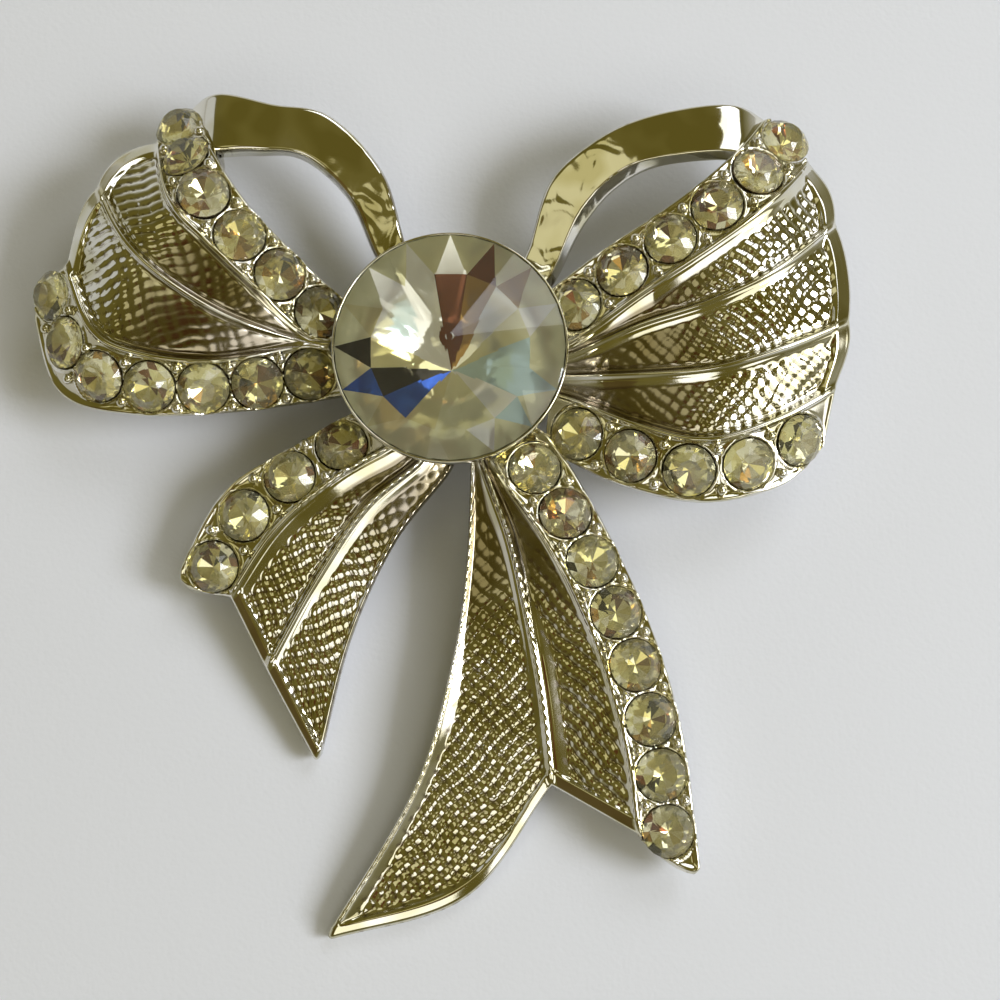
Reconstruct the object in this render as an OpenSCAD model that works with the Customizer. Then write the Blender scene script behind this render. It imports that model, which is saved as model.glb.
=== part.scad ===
// Bow brooch, lying on its back. Millimetres, +Z up through its face, +X to the
// wearer's left. The origin is under the middle of its box, on the surface it lies on.

/* [Centre stone] */
// Diameter of the centre stone
centre_d = 15.4; // [14.5:0.1:15.6]
// Height of its pointed front above the girdle
centre_front_h = 2.6; // [1.6:0.1:3.4]
// Depth of its pointed back below the girdle
centre_back_h = 3.6; // [2.4:0.1:4.2]
// Height of its girdle above the surface that the brooch lies on
centre_z = 9.2; // [8.8:0.1:10]

/* [Small stones] */
// Diameter of a small stone
stone_d = 3.5; // [3:0.1:3.6]
// Height of its crown above the girdle
stone_crown_h = 0.85; // [0.5:0.05:1.1]
// Depth of its pointed back below the girdle
stone_back_h = 1.3; // [0.9:0.05:1.4]
// Thickness of its girdle
girdle_t = 0.15; // [0.1:0.05:0.25]
// Free space round a stone in its seat
seat_gap = 0.06; // [0.04:0.01:0.1]

/* [Ribbon] */
// Wall of the pleated panels and of the smooth bands
panel_t = 1.2; // [1:0.1:1.5]
// Wall of the borders that carry the small stones
border_t = 2.1; // [1.9:0.1:2.4]
// Depth of the turned-down lip at the outer end of a loop
loop_lip = 2.4; // [1.6:0.1:2.8]
// Height of the rims beside the small stones
rim_h = 0.35; // [0.2:0.05:0.5]
// Height of the ridge between a border and the pleats
ridge_h = 0.55; // [0.3:0.05:0.7]
// Height of a rib between two pleats
rib_h = 0.3; // [0.2:0.05:0.45]
// Depth of the valley beside a ridge or a rib
valley_h = 0.4; // [0.2:0.05:0.5]
// Radius of the grains between the small stones
grain_r = 0.38; // [0.3:0.02:0.42]

/* [Setting] */
// Wall of the cup round the centre stone
cup_wall = 0.25; // [0.2:0.05:0.4]
// Diameter of the underside of the cup
cup_foot_d = 13; // [11:0.5:14]
// Height of the underside of the cup
cup_foot_z = 3.6; // [3.4:0.1:4]

/* [Pin] */
// Distance between the hinge block and the catch
pin_span = 24; // [20:1:26]
// Diameter of the pin stem
stem_d = 0.9; // [0.8:0.1:1.1]
// Width of the bar that carries them
bar_w = 3.2; // [2.6:0.2:4]
// Thickness of the bar
bar_t = 0.9; // [0.7:0.1:1.1]

/* [Hidden] */
// Middle of the centre stone, seen from above
hub = [1.2, 10.2, 0];
// Distance of the pin's bar from the middle of the centre stone
pin_y = 2.5;
pin_gap = 0.04;
block_w = 3;
catch_w = 1.6;
stem_z = 1.3;
// How far a cutter reaches above the seat that it cuts
clear_above = 2;
// How deep a grain is rooted in the border
grain_root = 0.5;
// How far each ribbon runs in under the centre stone, as a share of its distance
root_share = 0.72;
root_drop = 0.6;
loop_steps = 18;
tail_steps = 14;
band_steps = 14;
seat_sides = 12;
row_parts = 40;
cup_sides = 48;
centre_facets = 16;
stone_facets = 8;

// Each ribbon is a table with a row for each section, from the hub outwards. A row
// holds one point for each lengthwise line of the ribbon: [x, y, z] from the hub's axis.

// Lines: upper edge, ridge, first rib, second rib, lower rim, lower edge
right_loop = [
    [[6.6, 5.0, 5.4], [8.5, 1.2, 6.0], [8.2, 0.3, 6.0], [8.2, -1.2, 5.8], [8.2, -2.7, 5.6], [7.8, -6.8, 4.6]],
    [[10.8, 7.7, 7.2], [12.9, 4.0, 8.0], [12.8, 1.9, 7.8], [12.7, -1.5, 7.6], [12.4, -4.8, 7.2], [11.6, -8.9, 6.0]],
    [[15.7, 10.9, 8.0], [17.8, 7.1, 8.8], [17.3, 3.2, 8.8], [17.5, -1.3, 8.6], [17.0, -6.0, 8.0], [16.9, -10.1, 6.4]],
    [[19.5, 14.2, 8.0], [21.7, 10.2, 8.6], [21.8, 5.4, 8.8], [22.2, 0.1, 8.6], [21.7, -4.6, 7.6], [22.2, -8.9, 5.8]],
    [[22.0, 17.7, 6.0], [24.8, 13.8, 6.4], [26.4, 9.3, 7.0], [27.1, 2.4, 7.2], [26.2, -2.0, 6.4], [25.4, -6.0, 5.0]],
];

// Lines: upper edge, ridge, rib, lower rim, lower edge
left_loop = [
    [[-7.7, 4.7, 5.4], [-10.0, 1.6, 6.0], [-10.2, 1.2, 6.0], [-10.2, 0.8, 6.0], [-8.0, -2.5, 4.6]],
    [[-11.4, 7.9, 7.4], [-13.6, 4.7, 8.0], [-15.0, 2.4, 8.0], [-15.9, -0.5, 7.4], [-15.0, -3.8, 5.8]],
    [[-13.9, 10.5, 8.2], [-16.6, 7.5, 8.8], [-19.3, 4.9, 8.8], [-21.2, 0.0, 7.8], [-21.8, -3.9, 5.6]],
    [[-16.1, 13.9, 8.2], [-19.0, 10.3, 8.8], [-22.2, 7.8, 8.6], [-24.2, 1.7, 7.6], [-27.0, -2.0, 4.6]],
    [[-17.7, 18.2, 5.0], [-20.6, 15.8, 5.2], [-24.4, 11.9, 7.0], [-26.3, 6.6, 6.8], [-29.3, 4.4, 3.8]],
];

// Lines: outer edge, ridge, rib, inner edge
left_tail = [
    [[-6.8, -3.4, 4.6], [-4.0, -5.9, 5.2], [-2.1, -7.0, 5.2], [0.1, -7.5, 4.8]],
    [[-11.0, -5.9, 4.8], [-8.0, -8.3, 5.4], [-5.7, -10.1, 5.2], [-3.7, -12.5, 4.6]],
    [[-15.7, -8.9, 4.0], [-11.9, -11.6, 4.6], [-9.1, -15.0, 4.2], [-6.8, -19.0, 3.4]],
    [[-19.3, -15.2, 2.6], [-15.1, -16.1, 3.2], [-12.6, -21.0, 2.6], [-8.6, -26.8, 1.6]],
];

// Lines: outer edge, ridge, rib, crease, inner edge
right_tail = [
    [[7.0, -5.4, 4.6], [3.5, -8.3, 5.2], [2.2, -7.2, 5.2], [1.7, -7.1, 5.0], [1.2, -7.2, 4.8]],
    [[10.3, -11.0, 5.0], [6.9, -13.2, 5.8], [4.0, -12.1, 5.2], [2.5, -12.9, 4.8], [1.0, -13.7, 4.6]],
    [[13.4, -17.7, 4.6], [9.7, -19.2, 5.4], [5.1, -17.1, 4.8], [2.6, -19.1, 4.2], [0.0, -20.7, 3.8]],
    [[15.6, -25.1, 4.0], [11.7, -26.0, 4.8], [6.1, -22.7, 4.0], [1.9, -26.0, 3.2], [-2.5, -29.0, 2.6]],
    [[16.8, -34.6, 3.2], [12.6, -32.1, 4.0], [6.8, -28.8, 3.0], [1.2, -35.4, 1.8], [-8.3, -39.1, 1.2]],
];

// Lines: upper edge, lower edge
left_band = [
    [[-3.3, 8.8, 4.6], [-5.3, 7.7, 4.6]],
    [[-4.8, 13.4, 5.8], [-7.1, 11.5, 5.8]],
    [[-8.4, 17.1, 6.8], [-10.1, 14.1, 6.8]],
    [[-12.4, 17.9, 7.2], [-13.3, 14.4, 7.4]],
    [[-16.4, 18.8, 6.8], [-16.4, 14.4, 7.2]],
    [[-18.8, 18.2, 4.6], [-18.4, 14.6, 5.4]],
];

// Lines: upper edge, crest, lower edge
right_band = [
    [[5.2, 8.1, 4.6], [6.9, 6.4, 4.6], [7.2, 5.9, 3.6]],
    [[6.9, 12.9, 5.8], [8.9, 10.6, 5.8], [9.5, 10.1, 4.8]],
    [[10.9, 16.0, 6.8], [11.9, 13.3, 6.8], [12.5, 12.8, 5.8]],
    [[15.2, 17.4, 7.2], [15.7, 14.1, 7.4], [15.9, 13.7, 6.4]],
    [[19.6, 17.8, 7.2], [19.5, 14.2, 7.6], [19.4, 13.7, 6.6]],
    [[22.6, 17.0, 5.2], [21.8, 13.4, 6.0], [21.6, 13.0, 5.0]],
];

// Rows of small stones: name, count, ribbon, line position, first and last section position
stone_rows = [
    ["left_upper_stone", 6, left_loop, 0.5, 0.06, 3.96],
    ["left_lower_stone", 7, left_loop, 3.5, 0.12, 3.84],
    ["right_upper_stone", 6, right_loop, 0.5, 0.28, 3.88],
    ["right_lower_stone", 5, right_loop, 4.5, 0.2, 3.4],
    ["left_tail_stone", 4, left_tail, 0.5, 0.54, 2.7],
    ["right_tail_stone", 8, right_tail, 0.5, 0.16, 3.8],
];

// Smooth curve through a list of points, s counted in points from the first
function between(a, b, c, d, t) =
    (2 * b + (c - a) * t + (2 * a - 5 * b + 4 * c - d) * t ^ 2 + (3 * b - a - 3 * c + d) * t ^ 3) / 2;
function along(points, s) =
    let (
        last = len(points) - 1,
        i = min(max(floor(s), 0), last - 1),
        a = points[i],
        b = points[i + 1],
        before = i > 0 ? points[i - 1] : 2 * a - b,
        after = i < last - 1 ? points[i + 2] : 2 * b - a
    ) between(before, a, b, after, s - i);

// A ribbon with its root under the hub put before its first section
function with_root(table) = concat(
    [[for (p = table[0]) [p.x * root_share, p.y * root_share, p.z - root_drop]]],
    table
);

// Point of a ribbon at section position s, from -1 at its root, and line position v
function line_of(table, k) = [for (row = table) row[k]];
function ribbon_point(rooted, s, v) =
    let (
        k = min(floor(v), len(rooted[0]) - 2),
        a = along(line_of(rooted, k), s + 1),
        b = along(line_of(rooted, k + 1), s + 1)
    ) a + (b - a) * (v - k);

function unit(p) = p / norm(p);
function upward(p) = p.z < 0 ? -p : p;
reach = 0.05;
function ribbon_tangent(rooted, s, v) =
    unit(ribbon_point(rooted, s + reach, v) - ribbon_point(rooted, s - reach, v));
function ribbon_normal(rooted, s, v) =
    let (
        lines = len(rooted[0]) - 1,
        low = max(v - 4 * reach, 0),
        high = min(v + 4 * reach, lines),
        across = ribbon_point(rooted, s, high) - ribbon_point(rooted, s, low)
    ) upward(unit(cross(ribbon_tangent(rooted, s, v), across)));

// Profile across a ribbon: rows of [line position, height, wall]
function border(v) = [
    [v, rim_h, border_t], [v + 0.06, rim_h, border_t], [v + 0.1, 0, border_t],
    [v + 0.9, 0, border_t], [v + 0.94, rim_h, border_t],
];
function pleat(v) = [
    [v + 0.1, -0.1, panel_t], [v + 0.5, -valley_h / 2, panel_t], [v + 0.88, -valley_h, panel_t],
];
function rib(v) = [[v - 0.04, rib_h, panel_t], [v + 0.04, rib_h, panel_t]];
function ridge(v) = [[v, ridge_h, border_t], [v + 0.03, ridge_h, panel_t]];
function edge(v) = [[v - 0.05, rim_h, panel_t], [v, rim_h / 2, panel_t]];

right_loop_profile = concat(
    border(0), ridge(1), pleat(1), rib(2), pleat(2), rib(3), pleat(3),
    [[4, ridge_h, border_t]], border(4.04), [[5, rim_h, border_t]]
);
left_loop_profile = concat(
    border(0), ridge(1), pleat(1), rib(2), pleat(2),
    [[3, ridge_h, border_t]], border(3.04), [[4, rim_h, border_t]]
);
left_tail_profile = concat(border(0), ridge(1), pleat(1), rib(2), pleat(2), edge(3));
right_tail_profile = concat(
    border(0), ridge(1), pleat(1), rib(2), pleat(2), [[3, 0, panel_t]], [[3.5, 0, panel_t]], edge(4)
);
left_band_profile = [
    [0, 0, panel_t], [0.15, 0.2, panel_t], [0.5, 0.3, panel_t], [0.85, 0.2, panel_t], [1, 0, panel_t],
];
right_band_profile = [
    [0, 0, panel_t], [0.15, 0.2, panel_t], [0.5, 0.3, panel_t], [0.9, 0.2, panel_t],
    [1, 0, panel_t], [2, 0, panel_t],
];

// Closed solid between the face of a ribbon, which has the profile's lines, and its
// back, which has only the ribbon's own lines. The far end turns down as a lip.
module ribbon(table, profile, steps, lip) {
    rooted = with_root(table);
    sections = len(table);
    across = len(profile);
    lines = len(table[0]);
    function section_at(i) = -1 + sections * i / steps;
    function wall_at(i, v) =
        i == steps ? lip : lookup(v, [for (row = profile) [row[0], row[2]]]);
    face = [
        for (i = [0:steps]) for (row = profile)
            ribbon_point(rooted, section_at(i), row[0])
            + row[1] * ribbon_normal(rooted, section_at(i), row[0])
    ];
    back = [
        for (i = [0:steps]) for (v = [0:lines - 1])
            ribbon_point(rooted, section_at(i), v)
            - wall_at(i, v) * ribbon_normal(rooted, section_at(i), v)
    ];
    count = len(face);
    // Line of the back that stands under a line of the face
    function under(j) = j == across - 1 ? lines - 1 : min(round(profile[j][0]), lines - 1);
    function face_at(i, j) = i * across + j;
    function back_at(i, k) = count + i * lines + k;
    function quad(a, b, c, d) = [[a, b, c], [a, c, d]];
    function cap(i) = [
        for (j = [0:across - 2]) each concat(
            [[face_at(i, j), face_at(i, j + 1), back_at(i, under(j))]],
            under(j + 1) == under(j) ? [] :
                [[face_at(i, j + 1), back_at(i, under(j + 1)), back_at(i, under(j))]]
        )
    ];
    function reversed(triangles) = [for (t = triangles) [t[2], t[1], t[0]]];
    triangles = concat(
        [for (i = [0:steps - 1]) for (j = [0:across - 2])
            each quad(face_at(i, j), face_at(i + 1, j), face_at(i + 1, j + 1), face_at(i, j + 1))],
        [for (i = [0:steps - 1]) for (k = [0:lines - 2])
            each quad(back_at(i, k), back_at(i, k + 1), back_at(i + 1, k + 1), back_at(i + 1, k))],
        [for (i = [0:steps - 1])
            each quad(face_at(i, 0), back_at(i, 0), back_at(i + 1, 0), face_at(i + 1, 0))],
        [for (i = [0:steps - 1]) each quad(
            face_at(i, across - 1), face_at(i + 1, across - 1),
            back_at(i + 1, lines - 1), back_at(i, lines - 1)
        )],
        cap(0),
        reversed(cap(steps))
    );
    turned = cross(face[across] - face[0], face[1] - face[0]).z > 0;
    polyhedron(concat(face, back), turned ? reversed(triangles) : triangles);
}

// Places its children on a ribbon, with +Z along the ribbon's normal and +X along it
module on_ribbon(table, s, v) {
    rooted = with_root(table);
    p = ribbon_point(rooted, s, v);
    x = ribbon_tangent(rooted, s, v);
    z = ribbon_normal(rooted, s, v);
    y = cross(z, x);
    multmatrix([[x.x, y.x, z.x, p.x], [x.y, y.y, z.y, p.y], [x.z, y.z, z.z, p.z]]) children();
}

// Section positions that part a row's middle line into equal lengths
function row_samples(row) =
    let (rooted = with_root(row[2]))
        [for (i = [0:row_parts])
            let (s = row[4] + (row[5] - row[4]) * i / row_parts) [ribbon_point(rooted, s, row[3]), s]];
function lengths_to_positions(samples) = [
    for (i = 0, run = 0; i < len(samples);
        run = run + (i + 1 < len(samples) ? norm(samples[i + 1][0] - samples[i][0]) : 0), i = i + 1)
        [run, samples[i][1]]
];
function equal_positions(row, parts) =
    let (rule = lengths_to_positions(row_samples(row)), full = rule[len(rule) - 1][0])
        [for (i = [0:parts]) lookup(full * i / parts, rule)];
// Positions of a row's stones and, halfway between them, of its grains
function row_positions(row) = equal_positions(row, 2 * (row[1] - 1));
function stone_position(row, i) = row_positions(row)[2 * (i - 1)];

module at_row_stones() {
    for (row = stone_rows)
        let (positions = row_positions(row))
            for (i = [0:row[1] - 1])
                on_ribbon(row[2], positions[2 * i], row[3]) children();
}

module seat() {
    depth = stone_back_h + seat_gap;
    radius = (stone_d / 2 + seat_gap) / cos(180 / seat_sides);
    translate([0, 0, -depth])
        cylinder(h = depth, r1 = seat_gap, r2 = radius, $fn = seat_sides);
    cylinder(h = clear_above, r = radius, $fn = seat_sides);
}

// One round-topped grain, on each side of the gap between neighbouring stones
module grain() {
    hull() {
        translate([0, 0, -grain_root]) cylinder(h = grain_root + grain_r / 4, r = grain_r, $fn = 6);
        translate([0, 0, grain_r / 4]) cylinder(h = grain_r, r = grain_r / 2, $fn = 6);
    }
}

module grains() {
    for (row = stone_rows)
        let (positions = row_positions(row))
            for (i = [1:row[1] - 1])
                on_ribbon(row[2], positions[2 * i - 1], row[3])
                    for (side = [-1, 1])
                        translate([0, side * (stone_d / 2 - grain_r), 0]) grain();
}

module cup() {
    outer_d = centre_d + 2 * (seat_gap + cup_wall);
    translate([0, 0, cup_foot_z])
        cylinder(h = centre_z - cup_foot_z, d1 = cup_foot_d, d2 = outer_d, $fn = cup_sides);
    translate([0, 0, centre_z])
        cylinder(h = girdle_t, d = outer_d, $fn = cup_sides);
}

module cup_hollow() {
    depth = centre_back_h + seat_gap;
    inner_d = centre_d + 2 * seat_gap;
    translate([0, 0, centre_z - depth])
        cylinder(h = depth, d1 = 2 * seat_gap, d2 = inner_d, $fn = cup_sides);
    translate([0, 0, centre_z])
        cylinder(h = clear_above, d = inner_d, $fn = cup_sides);
}

// Flat seat across the back for the pin's bar
module bar_seat() {
    length = pin_span + 2 * block_w;
    translate([-length / 2, pin_y - bar_w / 2 - pin_gap, 0])
        cube([length, bar_w + 2 * pin_gap, cup_foot_z]);
}

// Cut stone on its girdle's lower edge: table, star and kite facets, girdle, pointed back
module cut_stone(d, n, table_d, mid_d, crown_h, back_h) {
    step = 360 / n;
    r = d / 2;
    rt = table_d / 2;
    rm = mid_d / 2;
    mid_z = girdle_t + crown_h * (r - rm * cos(step / 2)) / (r - rt);
    function ring(radius, z, count, turn) =
        [for (i = [0:count - 1])
            [radius * cos(360 * i / count + turn), radius * sin(360 * i / count + turn), z]];
    points = concat(
        ring(rt, girdle_t + crown_h, n, 0),
        ring(rm, mid_z, n, step / 2),
        ring(r, girdle_t, 2 * n, 0),
        ring(r, 0, 2 * n, 0),
        [[0, 0, -back_h]]
    );
    mid = n;
    upper = 2 * n;
    lower = 4 * n;
    tip = 6 * n;
    facets = concat(
        [[for (i = [n - 1:-1:0]) i]],
        [for (i = [0:n - 1]) [i, (i + 1) % n, mid + i]],
        [for (i = [0:n - 1])
            let (before = mid + (i + n - 1) % n) [i, mid + i, upper + 2 * i, before]],
        [for (i = [0:n - 1]) [mid + i, upper + 2 * i + 1, upper + 2 * i]],
        [for (i = [0:n - 1]) [mid + i, upper + (2 * i + 2) % (2 * n), upper + 2 * i + 1]],
        [for (i = [0:2 * n - 1])
            let (j = (i + 1) % (2 * n)) [upper + i, upper + j, lower + j, lower + i]],
        [for (i = [0:2 * n - 1])
            let (j = (i + 1) % (2 * n)) [lower + i, lower + j, tip]]
    );
    polyhedron(points, facets);
}

module bow_casting() {
    color("darkkhaki") translate(hub) difference() {
        union() {
            ribbon(right_loop, right_loop_profile, loop_steps, loop_lip);
            ribbon(left_loop, left_loop_profile, loop_steps, loop_lip);
            ribbon(left_tail, left_tail_profile, tail_steps, panel_t);
            ribbon(right_tail, right_tail_profile, tail_steps, panel_t);
            ribbon(left_band, left_band_profile, band_steps, panel_t);
            ribbon(right_band, right_band_profile, band_steps, panel_t);
            grains();
            cup();
        }
        at_row_stones() seat();
        cup_hollow();
        bar_seat();
    }
}

module centre_stone() {
    color("lightcyan") translate(hub + [0, 0, centre_z])
        cut_stone(centre_d, centre_facets, 0.5, 0.7 * centre_d, centre_front_h, centre_back_h);
}

module small_stone(row, i) {
    color("ivory") translate(hub)
        on_ribbon(row[2], stone_position(row, i), row[3])
            cut_stone(stone_d, stone_facets, 0.55 * stone_d, 0.8 * stone_d, stone_crown_h, stone_back_h);
}

module pin_back() {
    bar_z = cup_foot_z - pin_gap - bar_t;
    color("silver") translate(hub + [0, pin_y, 0]) {
        translate([-(pin_span + block_w) / 2, -bar_w / 2, bar_z])
            cube([pin_span + block_w, bar_w, bar_t]);
        translate([-(pin_span + block_w) / 2, -bar_w / 2, 0])
            cube([block_w, bar_w, bar_z + bar_t / 2]);
        translate([(pin_span - catch_w) / 2, -bar_w / 2, 0])
            cube([catch_w, bar_w, bar_z + bar_t / 2]);
        translate([-pin_span / 2, 0, stem_z])
            rotate([0, 90, 0]) cylinder(h = pin_span + catch_w, d = stem_d, $fn = 24);
    }
}

bow_casting();
centre_stone();
pin_back();
for (row = stone_rows)
    for (i = [1:row[1]])
        small_stone(row, i);
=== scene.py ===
"""Bow brooch: plated casting with woven relief, foiled cut stones and a plain pin back.

Lengths inside the classes are millimetres, counted from the axis of the centre stone and from
the surface that the brooch lies on. Meshes are written in metres in the frame of the model.
"""

import logging
from collections.abc import Sequence
from dataclasses import dataclass, field
from enum import Enum, auto

import bpy
import numpy as np
from mathutils import Matrix, Vector


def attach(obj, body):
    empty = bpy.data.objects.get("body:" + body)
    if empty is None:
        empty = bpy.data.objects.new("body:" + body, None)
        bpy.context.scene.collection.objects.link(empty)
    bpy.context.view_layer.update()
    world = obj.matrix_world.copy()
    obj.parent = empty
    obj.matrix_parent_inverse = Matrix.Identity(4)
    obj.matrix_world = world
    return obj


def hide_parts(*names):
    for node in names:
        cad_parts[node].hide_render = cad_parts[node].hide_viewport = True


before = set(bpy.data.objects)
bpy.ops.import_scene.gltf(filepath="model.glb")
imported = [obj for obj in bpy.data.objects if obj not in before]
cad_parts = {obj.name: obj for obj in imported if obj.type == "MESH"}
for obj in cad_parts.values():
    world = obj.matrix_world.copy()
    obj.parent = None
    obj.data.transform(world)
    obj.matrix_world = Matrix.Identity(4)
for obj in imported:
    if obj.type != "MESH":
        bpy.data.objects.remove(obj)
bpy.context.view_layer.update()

log = logging.getLogger("bow_brooch")

MM = 0.001
BODY = "root"
CASTING = "bow_casting"
# Point attribute with the painted shade in the casting's hollows
HOLLOW_SHADE = "hollow"
# Corner attribute with each facet's foil colour and painted reflection
FOIL_REFLECTION_PAINT = "foil_reflection_paint"
HUB = np.array([1.2, 10.2, 0.0])


# Helpers for colours, nodes and meshes


def linear(hex_colour: str, alpha: float = 1.0) -> tuple[float, float, float, float]:
    """Turns an sRGB hex colour into Blender's linear colour.

    Args:
        hex_colour: Six hex digits with a leading hash.
        alpha: Opacity to append.

    Returns:
        Linear red, green, blue and alpha.
    """
    parts = np.array([int(hex_colour[i : i + 2], 16) / 255 for i in (1, 3, 5)])
    curve = np.where(parts <= 0.04045, parts / 12.92, ((parts + 0.055) / 1.055) ** 2.4)
    return (*curve.tolist(), alpha)


def add_node(tree: bpy.types.NodeTree, kind: str, settings: dict, links: dict) -> bpy.types.Node:
    """Adds one shader node with its settings and its incoming links.

    Args:
        tree: Node tree that gets the node.
        kind: Blender's type name of the node.
        settings: Property or input name to value.
        links: Input name or number to the output socket that feeds it.

    Returns:
        The new node.
    """
    node = tree.nodes.new(kind)
    for name, value in settings.items():
        if name in node.inputs:
            node.inputs[name].default_value = value
        else:
            setattr(node, name, value)
    for name, socket in links.items():
        tree.links.new(socket, node.inputs[name])
    return node


def ramp(tree: bpy.types.NodeTree, factor: bpy.types.NodeSocket, stops: dict) -> bpy.types.Node:
    """Adds a colour ramp.

    Args:
        tree: Node tree that gets the ramp.
        factor: Socket that drives it.
        stops: Position to linear colour.

    Returns:
        The ramp node.
    """
    node = add_node(tree, "ShaderNodeValToRGB", {}, {"Fac": factor})
    elements = node.color_ramp.elements
    for i, (place, colour) in enumerate(stops.items()):
        element = elements[i] if i < 2 else elements.new(place)
        element.position = place
        element.color = colour
    return node


def new_material(name: str) -> tuple[bpy.types.Material, bpy.types.NodeTree, bpy.types.Node]:
    """Makes a material with an empty tree and a Principled shader on its output.

    Args:
        name: The material's name.

    Returns:
        The material, its tree and its Principled node.
    """
    material = bpy.data.materials.new(name)
    material.use_nodes = True
    tree = material.node_tree
    tree.nodes.clear()
    shader = add_node(tree, "ShaderNodeBsdfPrincipled", {}, {})
    add_node(tree, "ShaderNodeOutputMaterial", {}, {"Surface": shader.outputs["BSDF"]})
    return material, tree, shader


def make_piece(
    name: str,
    points: np.ndarray,
    faces: Sequence,
    materials: Sequence[bpy.types.Material],
    replaced: str,
    face_materials: np.ndarray | None = None,
    smooth: bool = True,
) -> bpy.types.Object:
    """Puts one mesh piece into the scene and ties it to the frame.

    Args:
        name: The piece's name.
        points: Points in millimetres from the hub's axis.
        faces: Corner numbers of each face.
        materials: The piece's materials in slot order.
        replaced: The node that the piece stands for.
        face_materials: Material number of each face, or None for the first.
        smooth: Whether the faces are shaded smooth.

    Returns:
        The new object, at the origin.
    """
    mesh = bpy.data.meshes.new(name)
    mesh.from_pydata(((points + HUB) * MM).tolist(), [], [list(f) for f in faces])
    for material in materials:
        mesh.materials.append(material)
    if face_materials is not None:
        mesh.polygons.foreach_set("material_index", face_materials.astype(np.int32))
    mesh.polygons.foreach_set("use_smooth", np.full(len(mesh.polygons), smooth))
    mesh.update()
    piece = bpy.data.objects.new(name, mesh)
    bpy.context.scene.collection.objects.link(piece)
    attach(piece, BODY)
    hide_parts(replaced)
    log.info("%s: %d faces", name, len(mesh.polygons))
    return piece


def unit(vectors: np.ndarray) -> np.ndarray:
    """Scales vectors along the last axis to length one."""
    return vectors / np.maximum(np.linalg.norm(vectors, axis=-1, keepdims=True), 1e-9)


def step_up(x: np.ndarray, low: float, high: float) -> np.ndarray:
    """Smooth step: 0 below low, 1 above high, and 3t2 - 2t3 between them."""
    t = np.clip((x - low) / (high - low), 0, 1)
    return t * t * (3 - 2 * t)


def lathe(profile: np.ndarray, around: int) -> tuple[np.ndarray, list]:
    """Closed solid of revolution: the points (r cos a, r sin a, z) of each ring.

    Args:
        profile: Rows of radius and height, from one point on the axis to another.
        around: Number of points in each ring.

    Returns:
        The points and the faces.
    """
    a = 2 * np.pi * np.arange(around) / around
    rings = profile[1:-1]
    points = np.stack([
        rings[:, :1] * np.cos(a), rings[:, :1] * np.sin(a),
        np.broadcast_to(rings[:, 1:], (len(rings), around)),
    ], axis=2).reshape(-1, 3)
    poles = [[0, 0, profile[0, 1]], [0, 0, profile[-1, 1]]]
    i, j = np.meshgrid(np.arange(len(rings) - 1), np.arange(around), indexing="ij")
    here, side = (i * around + j).ravel(), (i * around + (j + 1) % around).ravel()
    faces = np.stack([here, side, side + around, here + around], axis=1).tolist()
    j, last, count = np.arange(around), (len(rings) - 1) * around, len(points)
    after = (j + 1) % around
    faces += np.stack([after, j, np.full(around, count)], axis=1).tolist()
    faces += np.stack([last + j, last + after, np.full(around, count + 1)], axis=1).tolist()
    return np.concatenate([points, poles]), faces


# Finishes


@dataclass(frozen=True)
class PlatedMetal:
    """Bright silver-tone plate on a zinc casting, with brown painted shade in its hollows."""

    name: str = "plated zinc casting"
    plate: str = "#e6e3d8"
    yellowed: str = "#d2cdb2"
    yellowed_at: float = 0.4
    plate_at: float = 0.55
    # Brown of the painted shade in hollows and between pillows
    hollow_shade: str = "#5e4426"
    roughness: tuple[float, float] = (0.04, 0.12)
    dullness: float = 0.14
    patch_mm: float = 3.0
    grain_mm: float = 0.16
    grain_depth_mm: float = 0.003
    grain_strength: float = 0.3

    def build(self) -> bpy.types.Material:
        """Mirror-like plate, slightly yellowed in patches, with brown painted shade in its hollows.

        Returns:
            The material.
        """
        material, tree, shader = new_material(self.name)
        place = add_node(tree, "ShaderNodeTexCoord", {}, {}).outputs["Object"]
        patches = add_node(
            tree, "ShaderNodeTexNoise",
            {"Scale": 1 / (self.patch_mm * MM), "Detail": 1.0, "Roughness": 0.5}, {"Vector": place},
        )
        tone = ramp(
            tree, patches.outputs["Fac"],
            {self.yellowed_at: linear(self.yellowed), self.plate_at: linear(self.plate)},
        )
        # Painted shade: the hollow attribute mixes the plate towards brown in recesses, between
        # pillows and in low spots near the hub
        depth = add_node(tree, "ShaderNodeAttribute", {"attribute_name": HOLLOW_SHADE}, {})
        painted_shade = add_node(
            tree, "ShaderNodeMix", {"data_type": "RGBA", "B": linear(self.hollow_shade)},
            {"Factor": depth.outputs["Fac"], "A": tone.outputs["Color"]},
        )
        grain = add_node(
            tree, "ShaderNodeTexNoise",
            {"Scale": 1 / (self.grain_mm * MM), "Detail": 1.0}, {"Vector": place},
        )
        gloss = add_node(
            tree, "ShaderNodeMapRange",
            {"To Min": self.roughness[0], "To Max": self.roughness[1]},
            {"Value": patches.outputs["Fac"]},
        )
        dull = add_node(
            tree, "ShaderNodeMath", {"operation": "MULTIPLY_ADD"},
            {0: depth.outputs["Fac"], 2: gloss.outputs["Result"]},
        )
        dull.inputs[1].default_value = self.dullness
        ripple = add_node(
            tree, "ShaderNodeBump",
            {"Strength": self.grain_strength, "Distance": self.grain_depth_mm * MM},
            {"Height": grain.outputs["Fac"]},
        )
        shader.inputs["Metallic"].default_value = 1.0
        tree.links.new(painted_shade.outputs[2], shader.inputs["Base Color"])
        tree.links.new(dull.outputs["Value"], shader.inputs["Roughness"])
        tree.links.new(ripple.outputs["Normal"], shader.inputs["Normal"])
        return material


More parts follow.
